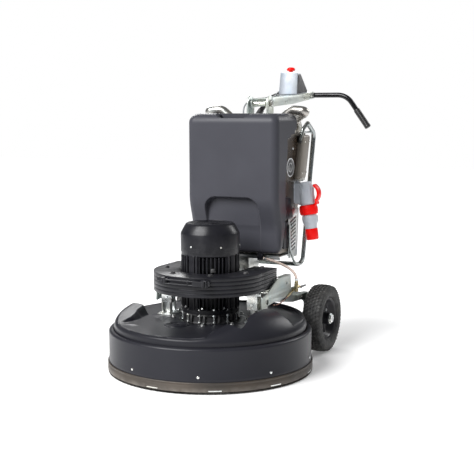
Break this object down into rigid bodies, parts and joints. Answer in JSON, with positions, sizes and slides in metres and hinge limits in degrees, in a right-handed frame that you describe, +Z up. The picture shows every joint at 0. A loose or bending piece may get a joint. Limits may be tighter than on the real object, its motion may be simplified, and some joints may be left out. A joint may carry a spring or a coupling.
{
  "type": "concrete grinder",
  "caption": "Walk-behind planetary floor grinder with a round skirted head, vertical motor in U-shaped ballast, water tank, cabinet, road wheels and folding handle.",
  "frame": {"origin": "centre of the bounding box's footprint, on the floor", "axes": "+X towards the side that carries the power inlet and the water valve, -Y towards the grinding head, +Y towards the handlebar, +Z up"},
  "size_m": [0.854, 1.507, 1.2725],
  "materials": {
    "black_moulding": "satin moulded black",
    "black_paint": "satin black powder coat",
    "rubber": "matt black rubber",
    "tyre": "block tread",
    "zinc": "bright zinc plate",
    "steel": "machined steel",
    "casting": "as cast, painted dark",
    "housing": "grey-brown paint",
    "grey_plastic": "light grey moulding",
    "red_plastic": "red moulding",
    "brass": "turned brass",
    "clear_hose": "clear hose",
    "cable": "grey cable jacket"
  },
  "bodies": {
    "chassis": {"axle": "steel", "side_arm_left": "zinc", "side_arm_right": "zinc", "chassis_frame": "zinc", "cage_tube": "zinc", "roll_bar": "zinc", "handle_clevis": "zinc", "water_tank": "black_moulding", "cabinet": "housing", "cabinet_cover": "housing", "inverter": "grey_plastic", "side_housing": "housing", "inlet_housing": "grey_plastic", "inlet_collar": "red_plastic", "inlet_plug": "grey_plastic", "valve_body": "brass", "water_hose": "clear_hose", "control_cable": "cable"},
    "head": {"hood": "black_moulding", "head_plate": "casting", "motor_housing": "black_paint", "motor_fan_cover": "black_paint", "post_left": "zinc", "post_right": "zinc", "ring_gear": "steel"},
    "rotor": {"rotor_shaft": "steel", "cooling_fan": "black_moulding"},
    "carrier": {"planet_carrier": "casting"},
    "skirt": {"skirt_shell": "black_moulding", "skirt_band": "rubber"},
    "ballast": {"ballast_plate_1": "black_paint", "ballast_plate_2": "black_paint", "ballast_plate_3": "black_paint", "ballast_plate_4": "black_paint", "ballast_plate_5": "black_paint"},
    "latch": {"latch_lever": "black_paint"},
    "port_cap": {"hood_port_cap": "black_moulding"},
    "wheel_left": {"tyre_left": "tyre", "rim_left": "black_paint"},
    "wheel_right": {"tyre_right": "tyre", "rim_right": "black_paint"},
    "filler_cap": {"tank_cap": "black_moulding"},
    "switch": {"main_switch": "red_plastic"},
    "valve_handle": {"valve_lever": "steel"},
    "inlet_flap": {"inlet_lid": "red_plastic"},
    "handle": {"handle_arm": "zinc", "handlebar": "black_paint", "grip_left": "rubber", "grip_right": "rubber", "control_pod": "grey_plastic", "pod_bracket": "zinc"},
    "stop_button": {"emergency_stop": "red_plastic"},
    "speed_dial": {"speed_knob": "black_moulding"},
    "start": {"start_button": "grey_plastic"},
    "disc_unit_1": {"disc_spindle_1": "steel", "grinding_disc_1": "casting"},
    "disc_unit_2": {"disc_spindle_2": "steel", "grinding_disc_2": "casting"},
    "disc_unit_3": {"disc_spindle_3": "steel", "grinding_disc_3": "casting"}
  },
  "joints": [
    {"name": "head_tilt", "type": "hinge", "parent": "chassis", "child": "head", "pos_m": [0, -0.2965, 0.29], "axis": [1, 0, 0], "range_deg": [-3, 3]},
    {"name": "carrier_spin", "type": "hinge", "parent": "head", "child": "carrier", "pos_m": [0, -0.3265, 0.09], "axis": [0, 0, 1], "continuous": true},
    {"name": "rotor_spin", "type": "hinge", "parent": "head", "child": "rotor", "pos_m": [0, -0.3265, 0.34], "axis": [0, 0, 1], "continuous": true},
    {"name": "disc_1_spin", "type": "hinge", "parent": "carrier", "child": "disc_unit_1", "pos_m": [0, -0.5665, 0.05], "axis": [0, 0, 1], "continuous": true},
    {"name": "disc_2_spin", "type": "hinge", "parent": "carrier", "child": "disc_unit_2", "pos_m": [0.20785, -0.2065, 0.05], "axis": [0, 0, 1], "continuous": true},
    {"name": "disc_3_spin", "type": "hinge", "parent": "carrier", "child": "disc_unit_3", "pos_m": [-0.20785, -0.2065, 0.05], "axis": [0, 0, 1], "continuous": true},
    {"name": "skirt_float", "type": "slide", "parent": "head", "child": "skirt", "axis": [0, 0, 1], "range_m": [0, 0.018]},
    {"name": "ballast_lift", "type": "slide", "parent": "head", "child": "ballast", "axis": [0, 0, 1], "range_m": [0, 0.03]},
    {"name": "latch_swing", "type": "hinge", "parent": "ballast", "child": "latch", "pos_m": [0.097, -0.5765, 0.396], "axis": [0, 0, 1], "range_deg": [0, 100]},
    {"name": "port_cap_turn", "type": "hinge", "parent": "head", "child": "port_cap", "pos_m": [-0.062, -0.5035, 0.204], "axis": [0, 0, 1], "range_deg": [0, 90]},
    {"name": "wheel_left_spin", "type": "hinge", "parent": "chassis", "child": "wheel_left", "pos_m": [-0.315, 0.1435, 0.15], "axis": [1, 0, 0], "continuous": true},
    {"name": "wheel_right_spin", "type": "hinge", "parent": "chassis", "child": "wheel_right", "pos_m": [0.315, 0.1435, 0.15], "axis": [1, 0, 0], "continuous": true},
    {"name": "filler_cap_turn", "type": "hinge", "parent": "chassis", "child": "filler_cap", "pos_m": [0.12, 0.0185, 1.045], "axis": [0, 0, 1], "range_deg": [0, 90]},
    {"name": "main_switch_turn", "type": "hinge", "parent": "chassis", "child": "switch", "pos_m": [-0.1, 0.1929, 0.8], "axis": [0, 0.9666, -0.2562], "range_deg": [0, 90]},
    {"name": "valve_turn", "type": "hinge", "parent": "chassis", "child": "valve_handle", "pos_m": [0.2848, -0.0265, 0.315], "axis": [1, 0, 0], "range_deg": [-90, 0]},
    {"name": "inlet_lid_swing", "type": "hinge", "parent": "chassis", "child": "inlet_flap", "pos_m": [0.2958, 0.1185, 0.6756], "axis": [0, 1, 0], "range_deg": [0, 75], "stiffness_Nm_per_rad": 0.05, "springref_deg": -28.65},
    {"name": "handle_fold", "type": "hinge", "parent": "chassis", "child": "handle", "pos_m": [0, 0.1635, 1.1], "axis": [1, 0, 0], "range_deg": [-10, 50]},
    {"name": "stop_press", "type": "slide", "parent": "handle", "child": "stop_button", "axis": [0, 0, -1], "range_m": [0, 0.004], "stiffness_N_per_m": 800, "springref_m": -0.001},
    {"name": "speed_turn", "type": "hinge", "parent": "handle", "child": "speed_dial", "pos_m": [-0.018, 0.5663, 1.216], "axis": [0, 0.6727, 0.7399], "range_deg": [-135, 135]},
    {"name": "start_press", "type": "slide", "parent": "handle", "child": "start", "axis": [0, -0.6727, -0.7399], "range_m": [0, 0.003], "stiffness_N_per_m": 600, "springref_m": -0.001}
  ],
  "couplings": [
    {"joint": "rotor_spin", "follows": "carrier_spin", "ratio": 4.1739},
    {"joint": "disc_1_spin", "follows": "carrier_spin", "ratio": -2.92},
    {"joint": "disc_2_spin", "follows": "carrier_spin", "ratio": -2.92},
    {"joint": "disc_3_spin", "follows": "carrier_spin", "ratio": -2.92}
  ]
}
